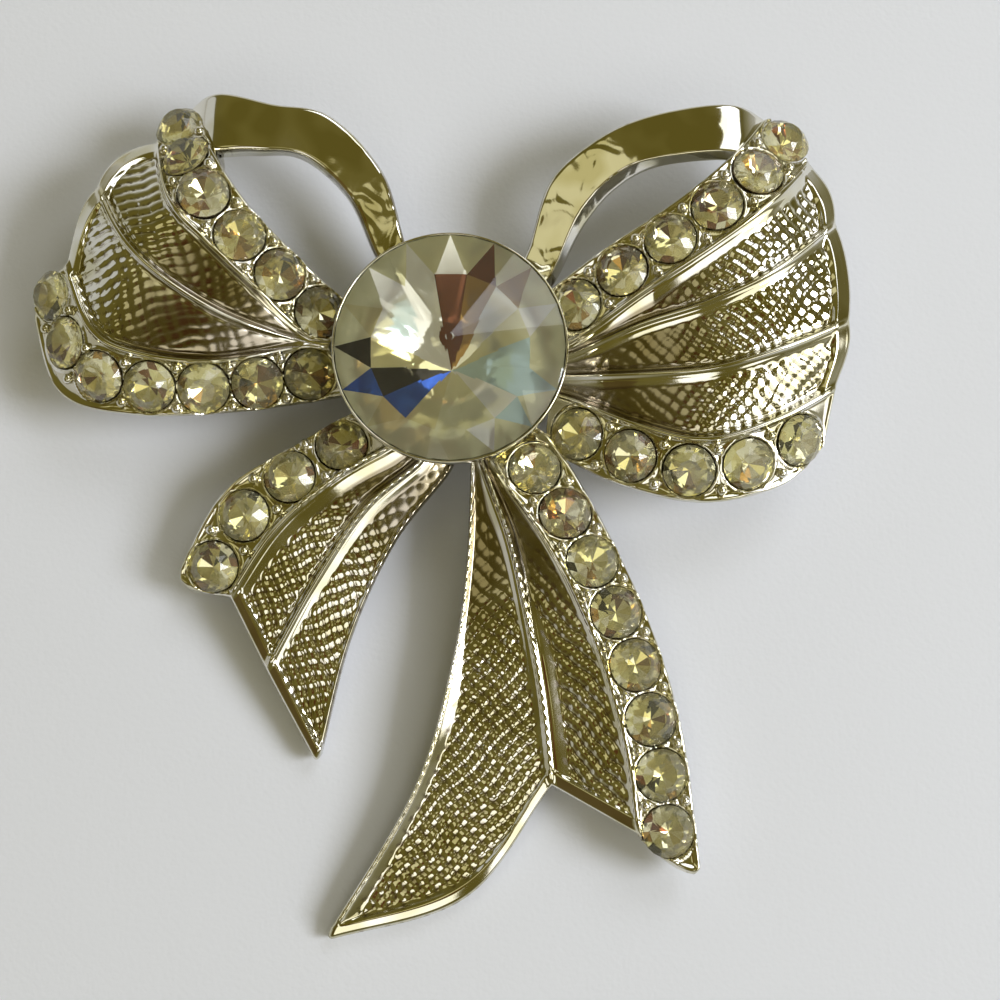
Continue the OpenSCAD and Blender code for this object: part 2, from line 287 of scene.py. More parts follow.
@dataclass(frozen=True)
class CutCrystal:
    """Clear cut lead crystal with a faint champagne body colour."""

    name: str
    colour: str
    clear: float
    ior: float = 1.56
    haze: float = 0.01
    dust_mm: float = 1.1

    def build(self) -> bpy.types.Material:
        """Clear glass with polished facets and a trace of dust that dulls the polish in spots.

        Returns:
            The material.
        """
        material, tree, shader = new_material(self.name)
        place = add_node(tree, "ShaderNodeTexCoord", {}, {}).outputs["Object"]
        dust = add_node(
            tree, "ShaderNodeTexNoise", {"Scale": 1 / (self.dust_mm * MM), "Detail": 2.0},
            {"Vector": place},
        )
        dull = add_node(
            tree, "ShaderNodeMapRange",
            {"From Min": 0.45, "From Max": 0.8, "To Min": 0.0, "To Max": self.haze},
            {"Value": dust.outputs["Fac"]},
        )
        shader.inputs["Base Color"].default_value = linear(self.colour)
        shader.inputs["Transmission Weight"].default_value = self.clear
        shader.inputs["IOR"].default_value = self.ior
        tree.links.new(dull.outputs["Result"], shader.inputs["Roughness"])
        return material


class FoilReflectionPaint(Enum):
    """Colours painted on the foil, one for each facet: white is plain silver, the others are
    painted reflections of light and dark things that the facet mirrors.
    """

    CLEAR = "#ffffff"
    PALE = "#f2efc8"
    CREAM = "#e8dfae"
    TAN = "#b08a4c"
    BROWN = "#7a4426"
    DARK = "#221d12"
    BLUE = "#2c5cc0"
    SKY = "#d2ecf2"


@dataclass(frozen=True)
class FoilBack:
    """Silver foil on the back facets of a stone, seen through the glass, with a painted reflection
    on each facet.
    """

    name: str
    mirror: float
    patch_mm: float = 1.1
    roughness: tuple[float, float] = (0.02, 0.1)

    def build(self) -> bpy.types.Material:
        """Mirror foil, with a painted reflection colour facet by facet, and slight creases.

        Returns:
            The material.
        """
        material, tree, shader = new_material(self.name)
        # Painted reflection: the foil's base colour comes from each facet's painted reflection
        # attribute
        reflection_paint = add_node(tree, "ShaderNodeAttribute", {"attribute_name": FOIL_REFLECTION_PAINT}, {})
        place = add_node(tree, "ShaderNodeTexCoord", {}, {}).outputs["Object"]
        creases = add_node(
            tree, "ShaderNodeTexNoise", {"Scale": 1 / (self.patch_mm * MM)}, {"Vector": place}
        )
        gloss = add_node(
            tree, "ShaderNodeMapRange",
            {"To Min": self.roughness[0], "To Max": self.roughness[1]},
            {"Value": creases.outputs["Fac"]},
        )
        shader.inputs["Metallic"].default_value = self.mirror
        tree.links.new(reflection_paint.outputs["Color"], shader.inputs["Base Color"])
        tree.links.new(gloss.outputs["Result"], shader.inputs["Roughness"])
        return material


@dataclass(frozen=True)
class PlainSteel:
    """Plated steel of the pin back, drawn wire and pressed strip."""

    name: str = "plated steel pin back"
    colour: str = "#b5b3a6"
    line_mm: tuple[float, float, float] = (2.5, 0.11, 0.11)
    line_depth_mm: float = 0.01
    line_strength: float = 0.2
    roughness: tuple[float, float] = (0.18, 0.42)

    def build(self) -> bpy.types.Material:
        """Satin metal with fine drawing lines along the bar.

        Returns:
            The material.
        """
        material, tree, shader = new_material(self.name)
        place = add_node(tree, "ShaderNodeTexCoord", {}, {}).outputs["Object"]
        scale = tuple(1 / (mm * MM) for mm in self.line_mm)
        drawn = add_node(tree, "ShaderNodeMapping", {"Scale": scale}, {"Vector": place})
        lines = add_node(tree, "ShaderNodeTexNoise", {"Scale": 1.0}, {"Vector": drawn.outputs[0]})
        gloss = add_node(
            tree, "ShaderNodeMapRange",
            {"To Min": self.roughness[0], "To Max": self.roughness[1]},
            {"Value": lines.outputs["Fac"]},
        )
        bump = add_node(
            tree, "ShaderNodeBump",
            {"Strength": self.line_strength, "Distance": self.line_depth_mm * MM},
            {"Height": lines.outputs["Fac"]},
        )
        shader.inputs["Base Color"].default_value = linear(self.colour)
        shader.inputs["Metallic"].default_value = 1.0
        tree.links.new(gloss.outputs["Result"], shader.inputs["Roughness"])
        tree.links.new(bump.outputs["Normal"], shader.inputs["Normal"])
        return material


@dataclass(frozen=True)
class PaleFloor:
    """Matt pale board with a fine tooth."""

    name: str = "matt pale board"
    colour: str = "#e4e6ee"
    roughness: float = 0.9
    tooth_mm: float = 0.385
    tooth_depth_mm: float = 0.08
    tooth_strength: float = 0.25

    def build(self) -> bpy.types.Material:
        """Rough and nearly white, with a tooth of about a third of a millimetre.

        Returns:
            The material.
        """
        material, tree, shader = new_material(self.name)
        place = add_node(tree, "ShaderNodeTexCoord", {}, {}).outputs["Object"]
        tooth = add_node(
            tree, "ShaderNodeTexNoise", {"Scale": 1 / (self.tooth_mm * MM), "Detail": 1.0},
            {"Vector": place},
        )
        bump = add_node(
            tree, "ShaderNodeBump",
            {"Strength": self.tooth_strength, "Distance": self.tooth_depth_mm * MM},
            {"Height": tooth.outputs["Fac"]},
        )
        shader.inputs["Base Color"].default_value = linear(self.colour)
        shader.inputs["Roughness"].default_value = self.roughness
        tree.links.new(bump.outputs["Normal"], shader.inputs["Normal"])
        return material


# Ribbons of the casting


class Line(Enum):
    """What runs along a lengthwise line of a ribbon."""

    EDGE = auto()
    RIDGE = auto()
    RIB = auto()
    RIM = auto()
    CREASE = auto()


class Kind(Enum):
    """How the surface between two lines of a ribbon is worked."""

    BORDER = auto()
    PLEAT = auto()
    SMOOTH = auto()


def cubic(
    before: np.ndarray, a: np.ndarray, b: np.ndarray, after: np.ndarray, t: np.ndarray
) -> np.ndarray:
    """Uniform cubic that runs from a to b and heads as the chords over its neighbours do.

    Args:
        before: Point before a.
        a: Start point.
        b: End point.
        after: Point after b.
        t: Place between a and b, from 0 to 1.

    Returns:
        Points of the curve.
    """
    return (
        2 * a + (b - before) * t + (2 * before - 5 * a + 4 * b - after) * t**2
        + (3 * a - before - 3 * b + after) * t**3
    ) / 2


def hump(distance: np.ndarray, width: np.ndarray | float) -> np.ndarray:
    """Round hump of height one: e to the minus square of distance over width."""
    return np.exp(-((distance / width) ** 2))


def raised(distance: np.ndarray, size: tuple[float, float, float]) -> np.ndarray:
    """Round hump of the size's height, at its place and of its half-width."""
    height, place, width = size
    return height * hump(distance - place, width)


@dataclass
class Strip:
    """Part of a ribbon between two of its lines."""

    first: int
    last: int
    kind: Kind


@dataclass(frozen=True)
class Patch:
    """One strip's share of a face: distances from its two lines and from the ribbon's end."""

    strip: Strip
    near: np.ndarray
    far: np.ndarray
    to_end: np.ndarray
    points: np.ndarray
    s: np.ndarray


@dataclass(frozen=True)
class ReliefSizes:
    """Sizes in millimetres that the relief of all ribbons shares.

    A triple is the height, the place and the half-width of a hump.
    """

    edge_r: float = 0.28
    border_w: float = 0.2
    border_full: float = 2.0
    pleat_full: float = 2.4
    weave_full: float = 2.6
    rim_inset: float = 0.25
    end_rise: tuple[float, float, float] = (0.15, 0.3, 0.2)
    floor_drop: float = 0.05
    crest_share: float = 0.18
    crest_w: float = 0.14
    crest_foot: tuple[float, float, float] = (0.05, 0.3, 0.09)
    far_foot: tuple[float, float, float] = (0.12, 0.42, 0.15)
    edge_rim: tuple[float, float, float] = (0.2, 0.24, 0.15)
    end_groove: tuple[float, float, float] = (0.06, 0.0, 0.08)
    blend: float = 0.08
    bead_pitch: float = 0.68
    bead_share: float = 0.25
    seat_depth: float = 1.4
    seat_lip: tuple[float, float, float] = (0.12, 0.16, 0.09)


@dataclass
class StoneRow:
    """A row of small stones along one border of a ribbon."""

    name: str
    count: int
    line: float
    first: float
    last: float


@dataclass
class Weave:
    """Woven relief: rows of small pillows, grooves between rows, saddles between pillows."""

    angle: float
    row_pitch: float = 0.84
    pillow_pitch: float = 0.78
    height: float = 0.125
    comb_from: float = 9.0
    uneven: float = 0.5
    full_from: float = 1.6

    def height_at(self, points: np.ndarray, s: np.ndarray) -> np.ndarray:
        """Height of the pillows over their mean.

        A pillow is one minus the square of the place across its row and minus 0.8 times the
        square of the place along it, both from -1 to 1. A hash of the pillow's numbers changes
        its height and tips it. Past comb_from the saddles grow shallow and rows become ribs.

        Args:
            points: Points of the plain face.
            s: Their section positions.

        Returns:
            Heights in millimetres.
        """
        turn = np.radians(self.angle)
        x, y = points[..., 0], points[..., 1]
        across = y * np.cos(turn) - x * np.sin(turn)
        beside = x * np.cos(turn) + y * np.sin(turn)
        across = across + 0.16 * np.sin(0.9 * beside + 0.3 * across) + 0.05 * np.sin(3.1 * beside)
        beside = beside + 0.12 * np.sin(1.1 * across)
        row, pillow = across / self.row_pitch, beside / self.pillow_pitch
        row_no, pillow_no = np.round(row), np.round(pillow)
        a, b = 2 * (row - row_no), 2 * (pillow - pillow_no)
        chance = np.sin(row_no * 12.99 + pillow_no * 78.23) * 437.58
        chance = chance - np.floor(chance)
        other = np.sin(row_no * 39.35 + pillow_no * 11.14) * 271.83
        other = other - np.floor(other)
        comb = step_up(s, self.comb_from - 0.3, self.comb_from + 0.4)
        shape = 1 - a**2 - (0.8 - 0.45 * comb) * b**2
        tip = self.uneven * ((chance - 0.5) * a + (other - 0.5) * b)
        level = (shape - 0.45) * (1 + self.uneven * (other - 0.5)) + 0.6 * tip
        return self.height * self.share_at(s) * level

    def share_at(self, s: np.ndarray) -> np.ndarray:
        """Share of the full height: worn near the hub, and full from full_from on."""
        return 0.25 + 0.75 * step_up(s, self.full_from - 1.0, self.full_from + 0.1)


@dataclass
class Ribbon:
    """One ribbon of the casting: a face lofted over its lines, with its relief and its wall."""

    name: str
    table: list
    lines: list[Line]
    strips: list[Strip]
    rows: list[StoneRow] = field(default_factory=list)
    weave: Weave = field(default_factory=lambda: Weave(0.0))
    lip: float = 1.2
    end_strip: float = 0.0
    bowed: tuple[int, int] = (0, 0)
    bulge: dict[int, float] = field(default_factory=dict)
    corners: tuple[float, float] = (0.6, 0.6)
    beads_to: float = -2.0
    edge_bevel: float = 0.0
    wave: float = 0.0
    stone_d: float = 3.5
    pitch: float = 0.12
    panel_wall: float = 1.2
    border_wall: float = 2.1
    valley_h: float = 0.35
    bevel_slope: float = 0.44
    root_share: float = 0.72
    root_drop: float = 0.6
    cast: ReliefSizes = ReliefSizes()
    tall: dict[Line, float] = field(default_factory=lambda: {
        Line.EDGE: 0.22, Line.RIDGE: 0.5, Line.RIB: 0.34, Line.RIM: 0.42, Line.CREASE: 0.0,
    })

    def rails(self, s: np.ndarray, k: np.ndarray) -> np.ndarray:
        """Points of the ribbon's lines: the cubic through a line's points in the table.

        Args:
            s: Section positions, from -1 at the root under the centre stone.
            k: Numbers of the lines, in the same shape.

        Returns:
            One point for each pair.
        """
        table = np.array(self.table, float)
        root = table[0] * [self.root_share, self.root_share, 1] - [0, 0, self.root_drop]
        rooted = np.concatenate([[root], table])
        ahead = 2 * rooted[-1] - rooted[-2]
        padded = np.concatenate([[2 * rooted[0] - rooted[1]], rooted, [ahead]])
        i = np.clip(np.floor(s + 1).astype(int), 0, len(rooted) - 2)
        t = (s + 1 - i)[..., None]
        return cubic(padded[i, k], padded[i + 1, k], padded[i + 2, k], padded[i + 3, k], t)

    def surface(self, s: np.ndarray, v: np.ndarray, bow: bool = False) -> np.ndarray:
        """Plain face: smooth along each line, straight between lines, and bowed out at its end.

        Args:
            s: Section positions.
            v: Line positions.
            bow: Whether the end is bowed, which it isn't where stones are set out.

        Returns:
            Points in the shape that s and v have together.
        """
        s, v = np.broadcast_arrays(np.asarray(s, float), np.asarray(v, float))
        last = len(self.lines) - 1
        k = np.clip(np.floor(v).astype(int), 0, last - 1)
        t = (v - k)[..., None]
        end = len(self.table) - 1
        if not bow:
            return self.rails(s, k) * (1 - t) + self.rails(s, k + 1) * t
        push = sum(np.where(k == strip, mm, 0.0) for strip, mm in self.bulge.items())
        unit_len = np.linalg.norm(np.diff(np.array(self.table[-2:], float).mean(axis=1), axis=0))
        s = s + push / unit_len * (4 * t * (1 - t))[..., 0] * step_up(s, end - 1, end)
        a, b = self.rails(s, k), self.rails(s, k + 1)
        low, high = self.bowed
        before, after = self.rails(s, np.maximum(k - 1, 0)), self.rails(s, np.minimum(k + 2, last))
        before = np.where((k > low)[..., None], before, 2 * a - b)
        after = np.where((k + 1 < high)[..., None], after, 2 * b - a)
        straight = a * (1 - t) + b * t
        share = step_up(s, end - 1.2, end) * ((k >= low) & (k < high))
        return straight + (cubic(before, a, b, after, t) - straight) * share[..., None]

    def frame_at(self, s: float, v: float) -> np.ndarray:
        """Place on the face and its directions.

        Args:
            s: Section position.
            v: Line position.

        Returns:
            Rows for the direction along, across and outward, and the point.
        """
        h = 0.05
        near = self.surface(np.array([s - h, s + h]), np.array([v]))
        x = unit(near[1] - near[0])
        top = len(self.lines) - 1
        sides = self.surface(np.array([s]), np.array([max(v - 4 * h, 0), min(v + 4 * h, top)]))
        z = unit(np.cross(x, sides[1] - sides[0]))
        z = z if z[2] > 0 else -z
        return np.array([x, np.cross(z, x), z, self.surface(np.array([s]), np.array([v]))[0]])

    def row_positions(self, row: StoneRow) -> np.ndarray:
        """Places of a row's stones and of the middles between them, equally spaced.

        Args:
            row: The row.

        Returns:
            Section positions, a stone's first.
        """
        s = np.linspace(row.first, row.last, 41)
        path = self.surface(s, np.array([row.line]))
        run = np.concatenate([[0], np.cumsum(np.linalg.norm(np.diff(path, axis=0), axis=1))])
        return np.interp(np.linspace(0, run[-1], 2 * row.count - 1), run, s)

    def grid(self) -> tuple[np.ndarray, np.ndarray]:
        """Section and line positions of the mesh.

        The two outer corners are rounded: inside a square of the corner's radius, the places
        u and w, from 0 to 1 at the edges, become u times the root of 1 - w2/2 and the reverse.

        Returns:
            Two arrays of sections by lines.
        """
        table = np.array(self.table, float)
        last, end = len(self.lines) - 1, len(table) - 1
        widths = np.linalg.norm(table[:, 1:] - table[:, :-1], axis=2)
        counts = np.maximum((widths.mean(axis=0) / self.pitch).astype(int), 6)
        parts = [np.linspace(k, k + 1, counts[k], endpoint=False) for k in range(last)]
        length = np.linalg.norm(np.diff(table.mean(axis=1), axis=0), axis=1)
        s, v = np.meshgrid(
            np.linspace(-0.6, end, int(length.sum() * 1.1 / self.pitch)),
            np.concatenate([*parts, [last]]), indexing="ij",
        )
        for side, radius in enumerate(self.corners):
            width = widths[-1, 0 if side == 0 else -1]
            from_end = (end - s) * length[-1]
            from_side = (v if side == 0 else last - v) * width
            u, w = 1 - from_end / radius, 1 - from_side / radius
            inside = (u > 0) & (w > 0)
            new_u, new_w = u * np.sqrt(1 - w**2 / 2), w * np.sqrt(np.maximum(1 - u**2 / 2, 0))
            new_s = end - (1 - new_u) * radius / length[-1]
            new_v = (1 - new_w) * radius / width
            new_v = new_v if side == 0 else last - new_v
            s, v = np.where(inside, new_s, s), np.where(inside, new_v, v)
        return s, v

    def relief(self, points: np.ndarray, s: np.ndarray, v: np.ndarray) -> np.ndarray:
        """Height of the cast relief over the plain face.

        Args:
            points: The plain face.
            s: Section positions.
            v: Line positions.

        Returns:
            Heights in millimetres.
        """
        lines = np.arange(len(self.lines))
        across = np.broadcast_to(lines, (*s.shape, len(lines)))
        rails = self.rails(np.repeat(s[..., None], len(lines), axis=2), across)
        steps = np.linalg.norm(np.diff(rails, axis=2), axis=3)
        reach = np.concatenate([np.zeros((*s.shape, 1)), np.cumsum(steps, axis=2)], axis=2)
        k = np.clip(np.floor(v).astype(int), 0, len(lines) - 2)
        here = np.take_along_axis(reach, k[..., None], 2)[..., 0]
        here = here + (v - k) * np.take_along_axis(steps, k[..., None], 2)[..., 0]
        run = np.linalg.norm(np.diff(points, axis=0), axis=2)
        to_end = np.concatenate([np.cumsum(run[::-1], axis=0)[::-1], np.zeros((1, s.shape[1]))])
        side = np.linalg.norm(np.diff(points, axis=1), axis=2)
        nothing = np.zeros((s.shape[0], 1))
        from_first = np.concatenate([nothing, np.cumsum(side, axis=1)], axis=1)
        from_last = np.concatenate([np.cumsum(side[:, ::-1], axis=1)[:, ::-1], nothing], axis=1)
        works = {Kind.BORDER: self.border, Kind.PLEAT: self.pleat, Kind.SMOOTH: self.smooth}
        height = np.zeros(s.shape)
        for strip in self.strips:
            near, far = here - reach[..., strip.first], reach[..., strip.last] - here
            worked = works[strip.kind](Patch(strip, near, far, to_end, points, s))
            height = np.where((k >= strip.first) & (k < strip.last), worked, height)
        r = self.cast.edge_r
        inside = np.clip(np.minimum(np.minimum(from_first, from_last), to_end), 0, r)
        height = height - (r - np.sqrt(r**2 - (r - inside) ** 2))
        return height + self.seats(points)

    def border(self, patch: Patch) -> np.ndarray:
        """Border for stones: a level floor, a rolled rim on its edge and half of the ridge.

        Args:
            patch: The strip and its distances.

        Returns:
            Heights in millimetres.
        """
        tight = np.clip((patch.near + patch.far) / self.cast.border_full, 0.15, 1)
        height = 0.0
        for number, distance in ((patch.strip.first, patch.near), (patch.strip.last, patch.far)):
            line = self.lines[number]
            inset = self.cast.rim_inset if line is Line.EDGE else 0.0
            height = height + self.tall[line] * hump(distance - inset, self.cast.border_w * tight)
        fade = step_up(patch.to_end, 0.1, 0.9)
        return height * fade + raised(patch.to_end, self.cast.end_rise)

    def pleat(self, patch: Patch) -> np.ndarray:
        """Pleat: a crest, a flat bevel, a woven field that falls to a valley, and the next crest.

        The bevel is the plane that leaves the crest at bevel_slope, and the field is the higher
        of it and a ground that sinks with the power 1.5 of the place across. The polished strip
        at the end is a plane that tips outwards.

        Args:
            patch: The strip and its distances.

        Returns:
            Heights in millimetres.
        """
        near, far, to_end, cast = patch.near, patch.far, patch.to_end, self.cast
        first, second = self.lines[patch.strip.first], self.lines[patch.strip.last]
        width = near + far
        tight = np.clip(width / cast.pleat_full, 0.12, 1)
        beads = np.abs(np.sin(np.pi * to_end / cast.bead_pitch)) - 0.6
        beads = cast.bead_share * beads * (patch.s < self.beads_to)
        tall = self.tall[first] * tight
        sunk = self.valley_h * np.clip(near / width, 0, 1) ** 1.5
        ground = (-cast.floor_drop - sunk) * tight
        bevel = (1 - cast.crest_share) * tall - self.bevel_slope * near
        height = np.maximum(ground, bevel)
        woven = step_up(ground - bevel, 0.0, cast.blend)
        if self.edge_bevel:
            grown = step_up(patch.s, 1.6, 2.6)
            inner = self.edge_bevel * self.bevel_slope * grown - cast.floor_drop
            inner = inner - self.bevel_slope * far
            woven = woven * step_up(height - inner, 0.0, cast.blend)
            height = np.maximum(height, inner)
        height = height + (cast.crest_share + beads) * tall * hump(near, cast.crest_w * tight)
        height = height - tight * raised(near, cast.crest_foot)
        if second is Line.EDGE:
            height = height + tight * (1 + 3 * beads) * raised(far, cast.edge_rim)
            woven = woven * step_up(far, 0.4, 0.6)
        else:
            height = height - tight * raised(far, cast.far_foot)
            rise = self.tall[second] * tight - height
            height = height + rise * hump(far, cast.border_w * tight)
            woven = woven * step_up(far, 0.35, 0.6)
        plain = step_up(to_end, self.end_strip - 0.06, self.end_strip + 0.1)
        cloth = self.weave.height_at(patch.points, patch.s)
        cloth = cloth * np.clip(width / cast.weave_full, 0.25, 1)
        height = height + cloth * woven * plain
        crests = np.maximum(hump(near, 0.2) * tall, hump(far, 0.2) * self.tall[second])
        polished = 0.16 - 0.2 * (1 - to_end / max(self.end_strip, 0.1)) + crests * 0.6
        polished = polished * step_up(to_end, -0.1, 0.7)
        groove = raised(to_end - self.end_strip, cast.end_groove)
        return height * plain + polished * (1 - plain) - groove

    def smooth(self, patch: Patch) -> np.ndarray:
        """Smooth band: sums and products of sines, for the shallow dents of hand polishing.

        Args:
            patch: The strip and its distances.

        Returns:
            Heights in millimetres.
        """
        x, y = patch.points[..., 0], patch.points[..., 1]
        slow = np.sin(1.3 * x + 0.8 * y) + np.sin(1.7 * y - 0.9 * x)
        along = 0.8 * x + 0.6 * y + 0.5 * np.sin(1.7 * y)
        across = 0.8 * y - 0.6 * x + 0.4 * np.sin(2.3 * x)
        quick = np.sin(3.1 * along) * np.sin(2.6 * across)
        quick = quick + 0.5 * np.sin(5.7 * along + 2.0 * np.sin(3.4 * across))
        rough = self.wave * (1 - step_up(patch.s, self.beads_to - 0.5, self.beads_to + 0.6))
        return 0.02 * slow + rough * quick

    def seats(self, points: np.ndarray) -> np.ndarray:
        """Round seats: a pit under each stone and a low lip round it.

        Args:
            points: The plain face.

        Returns:
            Heights in millimetres.
        """
        total = np.zeros(points.shape[:2])
        for row in self.rows:
            for s in self.row_positions(row)[::2]:
                away = np.linalg.norm(points - self.frame_at(s, row.line)[3], axis=2)
                gap = away - self.stone_d / 2
                total = total - self.cast.seat_depth * (1 - step_up(gap, -0.04, 0.02))
                total = total + raised(gap, self.cast.seat_lip)
        return total

    def hollows(self, face: np.ndarray, s: np.ndarray, height: np.ndarray) -> np.ndarray:
        """How much painted shade the plate gets: in pits, between pillows and in low spots where
        the weave is worn.

        Args:
            face: The plain face.
            s: Section positions.
            height: Heights of the relief.

        Returns:
            Shares from 0 to 1.
        """
        # Painted shade: darker in pits under the stones, in low spots of the worn weave near the
        # hub and in the grooves between pillows
        pits = 0.75 * step_up(-height, 0.3, 0.75)
        worn = 0.8 * (1 - self.weave.share_at(s)) * step_up(-height, 0.02, 0.1)
        depth = -self.weave.height_at(face, s) / self.weave.height
        grooves = 0.7 * step_up(depth, 0.15, 0.7) * step_up(-height, 0.05, 0.12)
        return np.maximum(pits, np.maximum(worn, grooves))

    def build(self, metal: bpy.types.Material) -> bpy.types.Object:
        """Closed mesh of the ribbon: relief face, lowered back and the walls between them.

        Args:
            metal: Finish of the casting.

        Returns:
            The ribbon's piece.
        """
        s, v = self.grid()
        face = self.surface(s, v, bow=True)
        normal = unit(np.cross(np.gradient(face, axis=0), np.gradient(face, axis=1)))
        flipped = normal[..., 2].mean() < 0
        normal = -normal if flipped else normal
        borders = [strip for strip in self.strips if strip.kind is Kind.BORDER]
        stout = [any(b.first <= j <= b.last for b in borders) for j in range(len(self.lines))]
        walls = np.where(stout, self.border_wall, self.panel_wall)
        wall = np.interp(v, np.arange(len(stout)), walls)
        end = len(self.table) - 1
        ending = step_up(s, end - 0.3, end)
        wall = wall * (1 - ending) + self.lip * ending
        height = self.relief(face, s, v)
        top = face + normal * height[..., None]
        back = face - normal * wall[..., None]
        n, m = s.shape
        points = np.concatenate([top.reshape(-1, 3), back.reshape(-1, 3)])
        i, j = np.meshgrid(np.arange(n - 1), np.arange(m - 1), indexing="ij")
        corner = (i * m + j).ravel()
        face_quads = np.stack([corner, corner + m, corner + m + 1, corner + 1], axis=1)
        low = n * m
        rim = np.concatenate([
            np.arange(m), np.arange(1, n) * m + m - 1,
            (n - 1) * m + np.arange(m - 2, -1, -1), np.arange(n - 2, 0, -1) * m,
        ])
        after = np.roll(rim, -1)
        walls = np.stack([rim, after, after + low, rim + low], axis=1)
        quads = np.concatenate([face_quads, face_quads[:, ::-1] + low, walls])
        if flipped:
            quads = quads[:, ::-1]
        piece = make_piece(self.name, points, quads.tolist(), [metal], CASTING)
        # Painted shade in the hollows, stored for the metal's brown mix
        hollow = np.concatenate([self.hollows(face, s, height).ravel(), np.zeros(low)])
        layer = piece.data.attributes.new(HOLLOW_SHADE, "FLOAT", "POINT")
        layer.data.foreach_set("value", hollow.astype(np.float32))
        return piece


# Stones


@dataclass
class CutStone:
    """Round cut stone: table, star, kite and girdle facets in front, foiled facets behind."""

    diameter: float
    sides: int
    table_d: float
    mid_d: float
    crown_h: float
    back_h: float
    back_mid_d: float
    girdle: float = 0.15
    apex_shift: tuple[float, float] = (0.0, 0.0)
    turn_from: float = 0.6
    pale_from: float = 1.0

    def shape(self) -> tuple[np.ndarray, list, np.ndarray]:
        """Works out the facets.

        Each ring is a circle of evenly spaced points. The middle rings lie where the kite
        facets between the girdle and the table, or the tip, are flat.

        Returns:
            Points, faces, and 1 for each back face and 0 for each other.
        """
        n, r = self.sides, self.diameter / 2
        half = np.pi / n

        def ring(radius: float, z: float, count: int, turn: float = 0.0) -> np.ndarray:
            """Circle of evenly spaced points at height z."""
            a = 2 * np.pi * np.arange(count) / count + turn
            circle = [radius * np.cos(a), radius * np.sin(a), np.full(count, z)]
            return np.stack(circle, axis=1)

        rt, rm, rb = self.table_d / 2, self.mid_d / 2, self.back_mid_d / 2
        mid_z = self.girdle + self.crown_h * (r - rm * np.cos(half)) / (r - rt)
        back_z = -self.back_h * (r - rb * np.cos(half)) / r
        shift = np.array([*self.apex_shift, 0.0])
        points = np.concatenate([
            ring(rt, self.girdle + self.crown_h, n), ring(rm, mid_z, n, half),
            ring(r, self.girdle, 2 * n), ring(r, 0, 2 * n),
            ring(rb, back_z, n, half) + shift * (1 - rb / r), [shift - [0, 0, self.back_h]],
        ])
        i = np.arange(n)
        after, before = (i + 1) % n, (i - 1) % n
        mid, up, low, under, tip = n, 2 * n, 4 * n, 6 * n, 7 * n
        two = (2 * i + 2) % (2 * n)
        j = np.arange(2 * n)
        j_after = (j + 1) % (2 * n)
        front = [i.tolist()]
        front += np.stack([i, mid + i, after], axis=1).tolist()
        front += np.stack([i, mid + before, up + 2 * i, mid + i], axis=1).tolist()
        front += np.stack([mid + i, up + 2 * i, up + 2 * i + 1], axis=1).tolist()
        front += np.stack([mid + i, up + 2 * i + 1, up + two], axis=1).tolist()
        front += np.stack([up + j, low + j, low + j_after, up + j_after], axis=1).tolist()
        back = np.stack([under + i, low + 2 * i + 1, low + 2 * i], axis=1).tolist()
        back += np.stack([under + i, low + two, low + 2 * i + 1], axis=1).tolist()
        back += np.stack([under + i, low + 2 * i, under + before], axis=1).tolist()
        back += np.stack([under + i, under + before, np.full(n, tip)], axis=1).tolist()
        return points, front + back, np.array([0] * len(front) + [1] * len(back))

    def build(
        self, name: str, place: np.ndarray, glass: bpy.types.Material, foil: bpy.types.Material,
        slot: str, reflection_paints: Sequence[FoilReflectionPaint],
    ) -> bpy.types.Object:
        """Makes the stone as a piece.

        Facets outside turn_from take the next painted reflection, so that the pattern is broken
        there, and those outside pale_from a pale painted reflection.

        Args:
            name: Name of the node that it stands for.
            place: Rows for its x, y and z directions and its point on the girdle's lower edge.
            glass: Material of the front.
            foil: Material of the back.
            slot: The record's material slot; not used.
            reflection_paints: Foil colours with painted reflections round the stone, from its x
                direction on.

        Returns:
            The stone's piece.
        """
        points, faces, back = self.shape()
        world = points @ place[:3] + place[3]
        stone = make_piece(
            f"{name}_cut", world, faces, [glass, foil], name, back, smooth=False
        )
        middle = np.array([points[f].mean(axis=0) for f in faces])
        around = np.degrees(np.arctan2(middle[:, 1], middle[:, 0])) / 360 * len(reflection_paints)
        radius = np.hypot(middle[:, 0], middle[:, 1]) / (self.diameter / 2)
        # Painted reflections: each facet's foil gets the colour of its sector
        colours = np.array([linear(reflection_paint.value) for reflection_paint in reflection_paints])
        sector = np.floor(around + 0.5).astype(int) + (radius > self.turn_from)
        chosen = colours[sector % len(reflection_paints)]
        chosen[radius > self.pale_from] = linear(FoilReflectionPaint.PALE.value)
        layer = stone.data.attributes.new(FOIL_REFLECTION_PAINT, "FLOAT_COLOR", "CORNER")
        corners = np.repeat(chosen, [len(f) for f in faces], axis=0)
        layer.data.foreach_set("color", corners.astype(np.float32).ravel())
        return stone


